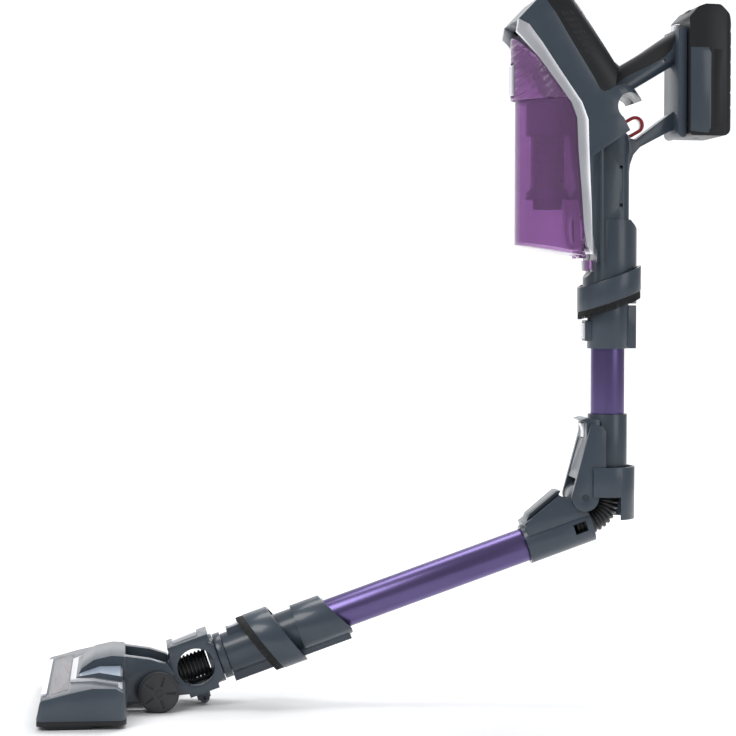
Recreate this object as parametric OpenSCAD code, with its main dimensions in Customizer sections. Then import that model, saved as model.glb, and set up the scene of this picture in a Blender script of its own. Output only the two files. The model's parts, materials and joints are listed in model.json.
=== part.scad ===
// Cordless stick vacuum with a folding wand, a dust bin on the handset and a powered floor head.
// Frame: +Z up, -X is the way the vacuum is pushed, Y = 0 is the plane of symmetry, floor at Z = 0.
// It is drawn as it is used, with the wand folded so that the head reaches under furniture.

/* [Pose of the wand] */
// Slope of the lower wand above the floor, in degrees
lower_slope = 19.2; // [14:0.2:24]
// Wheel axle to flex pivot, measured along the lower wand
lower_reach = 490; // [460:5:600]
// Flex pivot up to the top of the handset
upper_reach = 527; // [520:1:560]

/* [Wand tubes] */
// Outer diameter of both wand tubes
tube_d = 36; // [35:0.5:37]
// Wall of the aluminium tubes
tube_wall = 1.2; // [0.8:0.1:2]
// Distance from the flex pivot to either tube's axis
pivot_offset = 29; // [28:0.5:32]
// Diameter of the flex pivot pin
flex_pin_d = 8; // [6:0.5:9]
// Outer diameter of the flexible hoses
hose_d = 28; // [24:0.5:28]
// Wall of the flexible hoses
hose_wall = 2; // [1.5:0.5:3]

/* [Wand sockets and brush collars] */
// Outer diameter of a wand socket
socket_d = 44; // [43:0.5:46]
// Outer diameter of a sliding brush collar
brush_d = 68; // [67:0.5:72]
// Wall of a brush collar
brush_wall = 3; // [2:0.5:3]
// Height of a brush collar
brush_h = 26; // [20:1:28]
// Free length of the bristles below the collar
bristle_h = 9; // [6:1:11]

/* [Handset] */
// Half width of the motor bay and of the trim ring
bay_half = 46; // [44:0.5:50]
// Half width of the handle column
column_half = 26; // [25:0.5:28]
// Width of the handle grip
grip_w = 34; // [28:1:38]
// Wall of the casing
casing_wall = 2.6; // [2:0.2:3]
// Diameter of the motor
motor_d = 62; // [50:1:66]
// Length of the motor
motor_len = 26; // [20:1:28]

/* [Dust bin] */
// Outer radius of the bin's round front
bin_r = 47; // [44:0.5:48]
// Wall of the bin
bin_wall = 2; // [1.5:0.5:3]
// Radius of the perforated screen
screen_r = 17.5; // [14:0.5:19]
// Radius of the cyclone body
cyclone_r = 24; // [22:0.5:26]

/* [Battery] */
// Width of the battery
battery_w = 78; // [70:1:84]
// Diameter of one cell
cell_d = 18.4; // [18:0.1:19]
// Radius of the charging socket's bore
charge_r = 2.8; // [2:0.1:3.2]

/* [Floor head] */
// Width of the floor head
head_w = 252; // [230:1:280]
// Front of the floor head to the wheel axle
head_front = 124; // [118:1:130]
// Diameter of the rear wheels
wheel_d = 42; // [40:1:44]
// Width of the rear wheels
wheel_w = 13; // [9:0.5:14]
// Diameter of the wheel axles
axle_d = 8; // [6:0.5:9]
// Diameter of the brush roller over its bristles
roller_d = 30; // [26:1:32]
// Diameter of the brush roller's core
core_d = 21; // [18:1:23]

/* [Fits] */
// Radial clearance of a turning or sliding round fit
run_gap = 0.05; // [0.02:0.01:0.1]
// Radial clearance of a pin that stays still in its seat
seat_gap = 0.02; // [0.01:0.01:0.05]
// Gap between neighbouring parts that move past each other
slide_gap = 0.4; // [0.3:0.05:0.8]

/* [Hidden] */
$fn = 64;
eps = 0.01;
tube_r = tube_d / 2;
hose_r = hose_d / 2;
brush_shift = 1.2;             // the brush collars sit a little behind the wand's axis
bend = 90 - lower_slope;       // bend of the flex joint from straight

// Chain of places in the plane of symmetry: wheel axle, flex pivot, upper tube axis
wheel_r = wheel_d / 2;
neck_lift = 5.5;               // the lower wand's axis passes this far above the wheel axle
rear_reach = 124.3;            // rear of the battery behind the upper tube's axis
function along(x, z) = [x * cos(lower_slope) - z * sin(lower_slope),
                        x * sin(lower_slope) + z * cos(lower_slope)];
pivot_from_axle = along(lower_reach, neck_lift + pivot_offset);
upper_from_axle = pivot_from_axle[0] + pivot_offset;
axle_x = (head_front - upper_from_axle - rear_reach) / 2;
pivot = [axle_x + pivot_from_axle[0], wheel_r + pivot_from_axle[1]];
upper_x = axle_x + upper_from_axle;

// Local frames. Handset: origin on the upper tube's axis, level with the flex pivot.
handset_lift = upper_reach - 527;  // the wand's upper tube takes up any change in height
module at_handset() translate([upper_x, 0, pivot[1] + handset_lift]) children();
// Flex joint: the same, but fixed to the pivot
module at_upper() translate([upper_x, 0, pivot[1]]) children();
// Lower wand: origin on the lower tube's axis at the pivot, -X towards the head.
module at_lower() translate([pivot[0], 0, pivot[1]]) rotate([0, -lower_slope, 0])
    translate([0, 0, -pivot_offset]) children();
// Head: origin on the floor under the wheel axle.
module at_head() translate([axle_x, 0, 0]) children();
// Sockets: origin in the middle of the mouth, +Z up the wand, release button at -X.
upper_mouth = 158;
lower_mouth = -412;
module at_upper_socket() at_handset() translate([0, 0, upper_mouth]) children();
module at_lower_socket() at_lower() translate([lower_mouth, 0, 0]) rotate([0, 90, 0]) children();

// Outline helpers: corner points [x, z, radius] become a rounded outline
function unit(v) = v / norm(v);
function corner(a, b, c, r, n) =
    let (u = unit(a - b), v = unit(c - b), half = acos(u * v) / 2, m = unit(u + v),
         centre = b + m * r / sin(half), s = b + u * r / tan(half), e = b + v * r / tan(half),
         a0 = atan2(s[1] - centre[1], s[0] - centre[0]),
         a1 = atan2(e[1] - centre[1], e[0] - centre[0]),
         turn = (a1 - a0 + 540) % 360 - 180)
    [for (k = [0 : n]) centre + r * [cos(a0 + turn * k / n), sin(a0 + turn * k / n)]];
function xy(p) = [p[0], p[1]];
function rounded(p, n = 5) =
    [for (i = [0 : len(p) - 1])
        let (a = p[(i + len(p) - 1) % len(p)], b = p[i], c = p[(i + 1) % len(p)])
        each (b[2] == 0 ? [xy(b)] : corner(xy(a), xy(b), xy(c), b[2], n))];
// Extrudes an XZ outline from y0 to y1
module side(p, y0, y1) translate([0, y1, 0]) rotate([90, 0, 0]) linear_extrude(y1 - y0) polygon(p);
module both_sides(y0, y1) for (s = [-1, 1]) translate([0, s > 0 ? y0 : -y1, 0]) children();
// Cylinder along Y from y0 to y1
module rod(r, y0, y1) translate([0, y1, 0]) rotate([90, 0, 0]) cylinder(r = r, h = y1 - y0);
module tube(r, wall, z0, z1) translate([0, 0, z0]) difference() {
    cylinder(r = r, h = z1 - z0);
    translate([0, 0, -1]) cylinder(r = r - wall, h = z1 - z0 + 2);
}
// Box between two corners
module block(a, b) translate(a) cube(b - a);

// ---------------------------------------------------------------- handset outlines
bay_slope = 55.2;              // lean of the motor bay's axis from vertical
bay_origin = [-60, 447];
module at_bay() translate([bay_origin[0], 0, bay_origin[1]]) rotate([0, bay_slope, 0]) children();
// Front line of the casing, from its top to under the bin
casing_front = [[-106, 502], [-95, 496.6], [-81, 478], [-60, 447], [-38.5, 416], [-32, 398.5],
                [-31, 367], [-28.5, 315], [-27, 278], [-24, 267], [-19.7, 262.5]];
// Rear line of the bin, the same line a trim width further forward
bin_rear = [[-108, 489], [-103, 484], [-86.5, 465.6], [-63, 433.7], [-50, 416], [-44, 400],
            [-42.6, 367], [-39, 325], [-36, 283], [-33, 266], [-26, 258.3], [-19.7, 258.3]];
function backwards(p) = [for (i = [len(p) - 1 : -1 : 0]) p[i]];
vent_line = [[-3.3, 433.7], [-9.7, 429.5], [-15, 428], [-19.3, 430], [-27, 444], [-48.4, 478],
             [-59, 495.7], [-67.7, 510], [-80.4, 526.9]];
notch = [for (a = [-125 : -15 : -335]) [14, 413] + 14.5 * [cos(a), sin(a)]];
nozzle_r = 28.7;
nozzle_x = 1.8;
casing_foot = 206;
column_outline = concat(
    [[-24.9, casing_foot], [30.5, casing_foot], [30.5, 284.5], [19, 295], [19, 342], [20.5, 354],
     [24, 364], [31, 372], [27, 380], [20, 381.5], [13.8, 385.6]],
    notch,
    [[25.5, 427.2], [22.2, 430.3], [8, 436]],
    vent_line, [[-84, 525]], casing_front, [[-19.7, 240], [-27.6, 232]]);
vent_outline = concat(backwards(vent_line),
    [[-1, 448], [4.7, 455.6], [-2.9, 459], [-40, 518.5], [-46.5, 524.7], [-56, 526.4], [-69, 527]]);
grip_outline = [[8, 436], [22.2, 430.3], [45, 444.4], [68, 456], [68, 486.4], [64.6, 476],
                [57, 468], [41, 458.6], [14, 445.6], [-3.3, 433.7]];
grip_top_outline = [[-3.3, 433.7], [14, 445.6], [41, 458.6], [57, 468], [64.6, 476], [68, 486.4],
                    [68, 495.4], [34, 472], [12, 459], [4.7, 455.6], [-1, 448]];
strut_outline = [[31, 372], [68, 391.4], [68, 410.5], [27, 380]];
// Foot of the strut, where the column's back flares out to it
strut_foot = [[12, 346], [19, 342], [20.5, 354], [24, 364], [31, 372], [27, 380], [20, 381.5], [12, 386]];

// Outer form of the motor bay and column, shrunk by t
module casing_form(t = 0) {
    // motor bay, rounded at its back
    at_bay() rotate([90, 0, 90]) translate([0, 0, -110]) linear_extrude(200)
        polygon(rounded([[bay_half - t, -30, 0], [bay_half - t, 58 - t, 18], [t - bay_half, 58 - t, 18],
                         [t - bay_half, -30, 0]]));
    // column, flaring forward to the trim ring
    translate([0, 0, 284]) linear_extrude(152)
        polygon(rounded([[-60, t - bay_half, 0], [-27, t - bay_half, 4], [-14, t - column_half, 8],
                         [19 - t, t - column_half, 12], [19 - t, column_half - t, 12],
                         [-14, column_half - t, 8], [-27, bay_half - t, 4], [-60, bay_half - t, 0]]));
    // foot of the trim ring's saddle
    translate([0, 0, 250]) linear_extrude(34)
        polygon(rounded([[-60, t - bay_half, 0], [-27, t - bay_half, 4], [-14, t - column_half, 8],
                         [8, t - column_half, 4], [8, column_half - t, 4],
                         [-14, column_half - t, 8], [-27, bay_half - t, 4], [-60, bay_half - t, 0]]));
    // round nozzle
    translate([nozzle_x, 0, casing_foot - 1]) cylinder(r = nozzle_r - t, h = 90);
}
grip_axis_slope = 31;
module grip_form(t = 0)
    translate([38, 0, 458.6]) rotate([0, 90 - grip_axis_slope, 0])
        translate([0, 0, -70]) linear_extrude(140)
        polygon(rounded([[15 - t, t - grip_w / 2, 9], [15 - t, grip_w / 2 - t, 9],
                         [t - 15.5, grip_w / 2 - t, 9], [t - 15.5, t - grip_w / 2, 9]]));
module casing_solid() {
    intersection() {
        casing_form();
        side(column_outline, -bay_half, bay_half);
    }
    intersection() {
        grip_form();
        side(grip_outline, -grip_w, grip_w);
    }
    side(strut_outline, -11, 11);
    side(strut_foot, -13, 13);
}
// Hollow of the column and motor bay, open towards the vent cover, and of the grip
cavity_outline = concat(
    [[-17, 238], [27.5, 238], [27.5, 283], [16, 293.5], [16, 366], [3, 380], [-5, 396], [-5, 420],
     [3, 432], [3, 470], [-40, 540], [-62, 540], [-80, 521], [-100, 501]],
    [for (i = [2 : len(casing_front) - 1]) casing_front[i]
        + casing_wall * (i < 5 ? [0.82, 0.57] : [1, 0.1])]);
grip_cavity = [[10, 439.5], [24, 434.5], [45, 447.5], [64, 459], [61, 468], [42, 456], [15, 442.6]];
module casing_hollow() {
    intersection() {
        casing_form(casing_wall);
        side(cavity_outline, -bay_half, bay_half);
    }
    intersection() {
        grip_form(casing_wall);
        side(grip_cavity, -grip_w, grip_w);
    }
}
// Half of the hollow handset casing; s is 1 for the left half and -1 for the right
module casing_half(s) at_handset() difference() {
    intersection() {
        casing_solid();
        block([-120, s > 0 ? eps : -60, 200], [80, s > 0 ? 60 : -eps, 540]);
    }
    casing_hollow();
    // wand socket and inlet pass through the nozzle
    translate([0, 0, casing_foot - 1]) cylinder(r = socket_d / 2 + seat_gap, h = 32);
    translate([0, 0, 230]) cylinder(r = tube_r + 1, h = 20);
    // mouth of the motor bay, towards the bin
    at_bay() translate([0, 0, -20]) cylinder(r = 34, h = 40);
    translate([-50, 0, inlet_z]) rotate([0, 90, 0]) cylinder(r = inlet_r + seat_gap, h = 40);
    at_trigger() rod(trigger_pin_d / 2 + run_gap, -8, 8);
    trigger_slot();
    for (p = screw_places) translate([p[0], 0, p[1]]) rod(screw_r + seat_gap, -bay_half, bay_half);
}
module body_shell_left() color([0.20, 0.25, 0.31]) casing_half(1);
module body_shell_right() color([0.20, 0.25, 0.31]) casing_half(-1);

// Casing screws, each in a boss line across the column
screw_r = 2;
screw_places = [[8, 310], [8, 350], [56, 463]];
module shell_screws() color("silver") at_handset() for (p = screw_places) translate([p[0], 0, p[1]]) {
    rod(screw_r, -grip_w / 2 + 4, grip_w / 2 - 4);
}

trim_outline = concat(backwards(casing_front), bin_rear);
// Plan of the ring, the same as the casing's behind it
module ring_form(t) translate([0, 0, 240]) linear_extrude(300)
    polygon(rounded([[-150, t - bay_half, 0], [-27, t - bay_half, 4], [-14, t - column_half, 8],
                     [12, t - column_half, 4], [12, column_half - t, 4],
                     [-14, column_half - t, 8], [-27, bay_half - t, 4], [-150, bay_half - t, 0]]));
module trim_ring() color([0.8, 0.8, 0.8]) at_handset() difference() {
    intersection() {
        ring_form(-0.6);
        side(trim_outline, -bay_half - 2, bay_half + 2);
    }
    // the bin's rear fills the ring
    intersection() {
        ring_form(7);
        side([[-140, 264], [-10, 264], [-10, 420], [-100, 540], [-140, 540]], -50, 50);
    }
}

module vent_cover() color([0.1, 0.1, 0.11]) at_handset() difference() {
    intersection() {
        casing_form();
        side(vent_outline, -bay_half, bay_half);
    }
    intersection() {
        casing_form(casing_wall);
        side([[-12, 416], [-2, 450], [-4.5, 455], [-42.5, 516], [-60, 522], [-74, 522], [-94, 490]],
             -bay_half, bay_half);
    }
    // slots let the motor's air out
    at_bay() for (i = [0 : 7], j = [-2 : 2])
        translate([-34 + i * 9, j * 15 - 6, 40]) cube([4, 12, 30]);
}
module exhaust_filter() color([0.85, 0.85, 0.8]) at_handset() at_bay()
    block([-38, -30, 44.4], [20, 30, 48.4]);
module grip_cover() color([0.08, 0.08, 0.09]) at_handset() intersection() {
    grip_form();
    side(grip_top_outline, -grip_w, grip_w);
}

// Motor and its fan lie on the bay's axis
motor_z = 18;
shaft_d = 5;
module motor_can() color([0.55, 0.55, 0.57]) at_handset() at_bay() difference() {
    translate([0, 0, motor_z]) cylinder(r = motor_d / 2, h = motor_len);
    translate([0, 0, motor_z - 1]) cylinder(r = shaft_d / 2 + run_gap, h = 21);
}
module impeller() color([0.75, 0.77, 0.8]) at_handset() at_bay() {
    translate([0, 0, 4]) cylinder(r = shaft_d / 2, h = motor_z + 14);
    translate([0, 0, 5]) cylinder(r1 = 9, r2 = 26, h = 4);
    for (a = [0 : 30 : 330]) rotate([0, 0, a]) block([5, -0.7, 8], [25, 0.7, 15]);
    translate([0, 0, 8]) cylinder(r = 7, h = 8);
}
module control_board() color([0.1, 0.35, 0.2]) at_handset()
    block([-8, -18, 300], [-6, 18, 384]);

// Inlet pipe: from the wand up and forward into the bin
inlet_r = 15;
inlet_z = 284;
inlet_bend = 24;
module inlet_pipe() color([0.25, 0.28, 0.32]) at_handset() {
    translate([-inlet_bend, 0, inlet_z - inlet_bend]) rotate([90, 0, 0]) rotate_extrude(angle = 90)
        translate([inlet_bend, 0]) difference() {
            circle(r = inlet_r);
            circle(r = inlet_r - 1.5);
        }
    tube(inlet_r, 1.5, 241, inlet_z - inlet_bend);
}

// Wand socket with a release button's block in front and a rail behind
rail_w = 14;
module socket_body(length, rail_length) difference() {
    union() {
        cylinder(r = socket_d / 2, h = length);
        block([12, -rail_w / 2, 0], [29.6, rail_w / 2, rail_length]);
        block([-26.4, -9, 8], [-12, 9, 30]);
    }
    translate([0, 0, -1]) cylinder(r = tube_r + run_gap, h = max(length, rail_length) + 2);
    // seat of the release button
    block([-29, -button_w / 2 - slide_gap, 10], [-19.5, button_w / 2 + slide_gap, 28]);
}
button_w = 12;
module socket_button() block([-28.4, -button_w / 2, 10 + slide_gap], [-22.4, button_w / 2, 28 - slide_gap]);
module neck_sleeve() color([0.25, 0.30, 0.36]) at_upper_socket() socket_body(72, 46);
module tube_release_button() color([0.9, 0.9, 0.9]) at_upper_socket() socket_button();

// Sliding brush: a slanted collar with a fringe of bristles; low is the height of its front lower edge
brush_slant = 24;
module brush_band(r, wall, low, height) difference() {
    translate([brush_shift, 0, low - 4]) tube(r, wall, 0, height + brush_slant + 12);
    slant_cut(low, -80);
    slant_cut(low + height, 0);
}
// Half space below (drop = -80) or above (drop = 0) a plane that rises from front to rear
module slant_cut(low, drop) translate([brush_shift - brush_d / 2, 0, low])
    rotate([0, -atan(brush_slant / brush_d), 0]) translate([-60, -60, drop]) cube([200, 120, 80]);
module brush_collar(low) brush_band(brush_d / 2, brush_wall, low, brush_h);
module brush_bristles(low) brush_band(brush_d / 2 - 0.3, 2.2, low - bristle_h, bristle_h);
module brush_collar_upper() color([0.22, 0.27, 0.33]) at_upper_socket() brush_collar(39);
module bristles_upper() color([0.05, 0.05, 0.05]) at_upper_socket() brush_bristles(39);
module brush_collar_lower() color([0.22, 0.27, 0.33]) at_lower_socket() brush_collar(29);
module bristles_lower() color([0.05, 0.05, 0.05]) at_lower_socket() brush_bristles(29);

// Trigger: a ring on an arm that turns about a pin in the column
trigger_pin_d = 3;
trigger_axis = [8, 393];
trigger_t = 9;
module at_trigger() translate([trigger_axis[0], 0, trigger_axis[1]]) children();
module trigger_slot() side([[0, 379], [24, 379], [24, 404], [0, 404]], -trigger_t / 2 - slide_gap,
                          trigger_t / 2 + slide_gap);
module trigger() color([0.7, 0.05, 0.1]) at_handset() difference() {
    union() {
        side(rounded([[3, 391, 2], [9, 386.5, 2], [14, 384, 1], [17, 399, 1], [12, 400.5, 3], [4, 398, 2]]),
             -trigger_t / 2, trigger_t / 2);
        side(ring_outline(9.6), -trigger_t / 2, trigger_t / 2);
        at_trigger() rod(trigger_pin_d / 2, -7.5, 7.5);
    }
    side(ring_outline(6), -trigger_t, trigger_t);
}
ring_ends = [[19.5, 391.4], [28, 396.2]];
ring_slope = atan2(ring_ends[1][1] - ring_ends[0][1], ring_ends[1][0] - ring_ends[0][0]);
// Long ring: half a circle of radius r round each end
function ring_outline(r) = concat(
    [for (a = [-90 : 15 : 90]) ring_ends[1] + r * [cos(ring_slope + a), sin(ring_slope + a)]],
    [for (a = [90 : 15 : 270]) ring_ends[0] + r * [cos(ring_slope + a), sin(ring_slope + a)]]);

// Dock that joins grip and strut and carries the battery
dock_outline = rounded([[68, 383, 6], [77, 381, 3], [77, 500, 2], [68, 496, 1]]);
dock_w = 60;
module battery_dock() color([0.55, 0.60, 0.68]) at_handset() difference() {
    side(dock_outline, -dock_w / 2, dock_w / 2);
    // seat of the speed button
    block([69, -speed_w / 2 - slide_gap, 488], [76, speed_w / 2 + slide_gap, 510]);
}
speed_w = 16;
module speed_button() color([0.85, 0.85, 0.87]) at_handset()
    block([69 + slide_gap, -speed_w / 2, 492], [76 - slide_gap, speed_w / 2, 503]);

// Battery slides on from behind
battery_front = 77.6;
battery_rear = rear_reach;
battery_outline = rounded(concat(
    [[battery_front, 383.5, 5], [battery_rear - 1, 383, 10]],
    [for (z = [399 : 16 : 480]) each [[battery_rear, z, 0], [battery_rear, z + 12, 0],
                                      [battery_rear - 1.8, z + 14, 0]]],
    [[battery_rear, 500, 0], [battery_rear - 3, 511, 6], [111, 521, 6], [95, 521.5, 6],
     [87, 518.5, 6], [battery_front, 508, 3]]), 4);
module battery_case() color([0.12, 0.13, 0.15]) at_handset() difference() {
    intersection() {
        side(battery_outline, -battery_w / 2, battery_w / 2);
        translate([0, 0, 370]) linear_extrude(160)
            polygon(rounded([[battery_front - 2, -battery_w / 2, 1], [battery_rear, -battery_w / 2, 9],
                             [battery_rear, battery_w / 2, 9], [battery_front - 2, battery_w / 2, 1]]));
    }
    block([battery_front - 1, 3 - battery_w / 2, 397], [battery_rear - 5, battery_w / 2 - 3, 500]);
    // charging socket
    translate([96, 0, 380]) cylinder(r = charge_r, h = 12);
    // seat of the latch
    block([84, -8 - slide_gap, 506.5], [96, 8 + slide_gap, 530]);
}
module battery_cells() color([0.2, 0.5, 0.6]) at_handset() for (i = [-1 : 1], j = [0 : 1])
    translate([91 + j * 19, i * 21, 397 + run_gap]) cylinder(r = cell_d / 2, h = 65);
module battery_latch() color([0.08, 0.08, 0.08]) at_handset()
    side([[84 + slide_gap, 510], [96 - slide_gap, 510], [96 - slide_gap, 521.4],
          [84 + slide_gap, 518]], -8, 8);

// ---------------------------------------------------------------- dust bin
bin_x = -54;
bin_split = 421;
lid_t = 3;
lid_axis = [-31.5, 257.5];
lid_barrel_r = 3.4;
lid_pin_d = 3;
bin_outline = concat([[-140, 274]], [[-118, 274.5], [-36, 260.7]], [[-36.2, 266]],
    [for (i = [8 : -1 : 0]) bin_rear[i] - [slide_gap, 0]], [[-116, 489], [-140, 489]]);
module bin_form(t = 0) {
    translate([bin_x, 0, 240]) linear_extrude(181) polygon(concat(
        [for (a = [90 : 6 : 270]) (bin_r - t) * [cos(a), sin(a)]], [[40, t - bin_r], [40, bin_r - t]]));
}
module bin_top_form(t = 0)
    translate([bin_x - 4.6, 0, bin_split + 0.3]) linear_extrude(90) polygon(concat(
        [for (a = [90 : 6 : 270]) (bin_r - t) * [cos(a), sin(a)]], [[40, t - bin_r], [40, bin_r - t]]));
module bin_shell() color([0.55, 0.25, 0.6, 0.6]) at_handset() difference() {
    union() {
        // ears that hold the lid's pin
        both_sides(14.4, 19)
            side([[-36.6, 262], [-35.2, 254], [-28.2, 254], [-28.2, 258], [-33, 261.5]], 0, 4.6);
        intersection() {
            bin_form();
            side(bin_outline, -60, 60);
        }
    }
    at_lid() rod(lid_pin_d / 2 + seat_gap, -30, 30);
    intersection() {
        bin_form(bin_wall);
        side(concat([[-140, 250], [-38, 250]], [[-38 - bin_wall, 283]],
             [for (i = [7 : -1 : 0]) bin_rear[i] - [slide_gap + bin_wall, 0]], [[-140, 489]]), -60, 60);
    }
    translate([-50, 0, inlet_z]) rotate([0, 90, 0]) cylinder(r = inlet_r, h = 40);
}
module bin_top() color([0.5, 0.22, 0.55, 0.7]) at_handset() difference() {
    intersection() {
        bin_top_form();
        side(bin_outline, -60, 60);
    }
    intersection() {
        bin_top_form(bin_wall);
        side(concat([[-140, 400]], [for (i = [5 : -1 : 0]) bin_rear[i] - [slide_gap + 3, -0.5]],
             [[-112, 486.5], [-140, 486.5]]), -60, 60);
    }
    // air leaves through the foam towards the motor
    at_bay() translate([0, 0, -30]) cylinder(r = foam_r + slide_gap, h = 60);
    block([-120, -catch_w / 2 - slide_gap, 424], [-102, catch_w / 2 + slide_gap, 460]);
}
foam_r = 21;
module foam_filter() color([0.3, 0.3, 0.32]) at_handset() at_bay()
    translate([0, 0, -14]) cylinder(r = foam_r, h = 10);
catch_w = 20;
module bin_catch() color([0.8, 0.8, 0.8]) at_handset()
    side(rounded([[-106.2, 426, 1], [-102.4, 426, 1], [-102.4, 458, 1], [-106.2, 458, 1]]),
         -catch_w / 2, catch_w / 2);

// Cyclone: body, perforated screen, flared skirt, all on one upright axis in the bin
cyclone_x = -66;
module at_cyclone() translate([cyclone_x, 0, 0]) children();
module separator_body() color([0.35, 0.18, 0.4]) at_handset() intersection() {
    union() {
        at_cyclone() tube(cyclone_r, 2, 384, 420.5);
        at_cyclone() difference() {
            translate([0, 0, 418]) cylinder(r = bin_r, h = 2.8);
            translate([0, 0, 410]) cylinder(r = cyclone_r - 2, h = 20);
        }
    }
    bin_form(bin_wall + 0.1);
    side([[-140, 300], [-38 - bin_wall - slide_gap, 300], [-50 - bin_wall, 414],
          [-54.6 - bin_wall, 420.9], [-140, 420.9]], -60, 60);
}
module mesh_screen() color([0.3, 0.15, 0.35]) at_handset() at_cyclone() difference() {
    tube(screen_r, 1.6, 328, 384);
    // perforations, cut from outside so that they don't meet in the middle
    for (k = [0 : 4], a = [0 : 45 : 315]) translate([0, 0, 336 + k * 10]) rotate([0, 90, a + k * 22.5])
        translate([0, 0, screen_r - 4]) cylinder(r = 1.6, h = 6);
}
module separator_skirt() color([0.35, 0.18, 0.4]) at_handset() at_cyclone() rotate_extrude()
    polygon([[14, 306], [16, 306], [16, 318], [24.5, 316], [24.5, 318], [19.5, 328], [14, 328]]);

module at_lid() translate([lid_axis[0], 0, lid_axis[1]]) children();
module bin_lid() color([0.55, 0.25, 0.6, 0.6]) at_handset() difference() {
    union() {
        intersection() {
            bin_form();
            side([[-118, 274.5 - slide_gap], [-118, 274.5 - slide_gap - lid_t], [-35, 259.9 - lid_t],
                  [-35, 260.4 - slide_gap]], -60, 60);
        }
        at_lid() rod(lid_barrel_r, -14, 14);
        side([[-38, 260], [-38, 257], [-31.5, 254.5], [-31.5, 259]], -14, 14);
    }
    at_lid() rod(lid_pin_d / 2 + run_gap, -20, 20);
    // room for the bin's ears
    both_sides(14.2, 19.2) block([-38.4, 0, 250], [-20, 5, 270]);
}
module lid_hinge_pin() color("silver") at_handset() at_lid() rod(lid_pin_d / 2, -22, 22);
module bin_release_tab() color([0.6, 0.3, 0.6]) at_handset()
    side(rounded([[-26.5, 239, 2], [-19.7 - run_gap, 243, 2], [-19.7 - run_gap, 252, 1], [-27, 252, 1]]),
         -10, 10);

// ---------------------------------------------------------------- wand and flex joint
upper_tube_top = 234;
upper_tube_foot = 36;
module upper_tube() color([0.42, 0.35, 0.60]) at_upper()
    tube(tube_r, tube_wall, upper_tube_foot, upper_tube_top + handset_lift);
flex_r = 21;
cheek_r = 14.5;
cheek_in = 20.8;
cheek_out = 27;
guard_wall = 2.5;
flex_top = 88;
cheek_outline = concat(
    [for (a = [170 : 15 : 365]) [-pivot_offset, 0] + cheek_r * [cos(a), sin(a)]],
    [[-7, 34], [-7, 70], [-11, 76], [-23, 79]]);
module at_pivot() translate([-pivot_offset, 0, 0]) children();
module flex_upper_housing() color([0.25, 0.30, 0.36]) at_upper() difference() {
    union() {
        translate([0, 0, slide_gap]) cylinder(r = flex_r, h = flex_top - slide_gap);
        both_sides(cheek_in, cheek_out) side(cheek_outline, 0, cheek_out - cheek_in);
        // front spine with the hood over the flex button
        side([[-38, 20], [-13, 20], [-13, 82], [-26, 84.5], [-33.5, 82.5], [-27, 79], [-27, 60]],
             -cheek_in - eps, cheek_in + eps);
    }
    translate([0, 0, upper_tube_foot]) cylinder(r = tube_r + seat_gap, h = 60);
    translate([0, 0, -1]) cylinder(r = hose_r + 1, h = upper_tube_foot + 2);
    at_pivot() rod(flex_pin_d / 2 + seat_gap, -30, 30);
    // the lower housing's ears swing in here
    at_pivot() rod(ear_r + 0.6, -cheek_in, cheek_in);
    block([-40, -7 - slide_gap, 62], [-19.6, 7 + slide_gap, 79]);
}
module flex_button() color([0.9, 0.9, 0.92]) at_upper()
    side([[-28, 63], [-22, 63], [-22, 78.4], [-31, 78.4], [-28.6, 74], [-27.4, 69]], -7, 7);
module flex_pin() color("silver") at_upper() at_pivot()
    rod(flex_pin_d / 2, -cheek_out + 0.5, cheek_out - 0.5);
module hose_guard() color([0.30, 0.36, 0.42]) at_upper() difference() {
    guard_band(cheek_out + guard_wall, -24, 32);
    guard_band(cheek_out, -25, 33);
    // open in front and below, where the lower housing folds away
    block([-40, -40, -30], [-21, 40, 40]);
    block([-22, -40, -30], [9, 40, slide_gap]);
}
module guard_band(r, z0, z1) translate([0, 0, z0]) linear_extrude(z1 - z0) union() {
    circle(r = r);
    translate([-21, -r]) square([21, 2 * r]);
}
// Hose through the joint: straight in the upper housing, then round the pivot
module hose_section() difference() {
    circle(r = hose_r);
    circle(r = hose_r - hose_wall);
}
hose_tail = 18;
module flex_hose() color([0.06, 0.06, 0.06]) at_upper() {
    translate([0, 0, run_gap]) linear_extrude(upper_tube_foot - 0.5) hose_section();
    at_pivot() rotate([90, 0, 0]) rotate([0, 0, -bend]) rotate_extrude(angle = bend)
        translate([pivot_offset, 0]) hose_section();
    at_pivot() rotate([0, bend, 0]) translate([pivot_offset, 0, -hose_tail - run_gap])
        linear_extrude(hose_tail) hose_section();
}
ear_r = 14;
lower_r = 21.5;
lower_socket_end = -74;
module flex_lower_housing() color([0.25, 0.30, 0.36]) at_lower() difference() {
    union() {
        rotate([0, -90, 0]) translate([0, 0, slide_gap])
            cylinder(r = lower_r, h = -lower_socket_end - slide_gap);
        side([[-70, 10], [-70, 24], [-60, 27], [-24, 40], [-10, 25], [-slide_gap, 10]],
             -cheek_in + slide_gap, cheek_in - slide_gap);
        translate([0, 0, pivot_offset]) rod(ear_r, -cheek_in + slide_gap, cheek_in - slide_gap);
    }
    rotate([0, -90, 0]) translate([0, 0, 30]) cylinder(r = tube_r + seat_gap, h = 60);
    rotate([0, -90, 0]) translate([0, 0, -20]) cylinder(r = hose_r + 1, h = 60);
    translate([0, 0, pivot_offset]) rod(flex_pin_d / 2 + run_gap, -30, 30);
    // side windows that show the hose
    block([-21, -30, -6], [-7, 30, 5]);
}
module flex_top_cover() color([0.13, 0.17, 0.22]) at_lower()
    side([[-66, 25.6], [-60, 27.2], [-24, 40.2], [-20.5, 43.4], [-25, 44.4], [-61, 31]], -14, 14);
lower_tube_foot = -345;
lower_tube_top = -30.5;
module lower_tube() color([0.42, 0.35, 0.60]) at_lower() rotate([0, 90, 0])
    tube(tube_r, tube_wall, lower_tube_foot, lower_tube_top);
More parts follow.
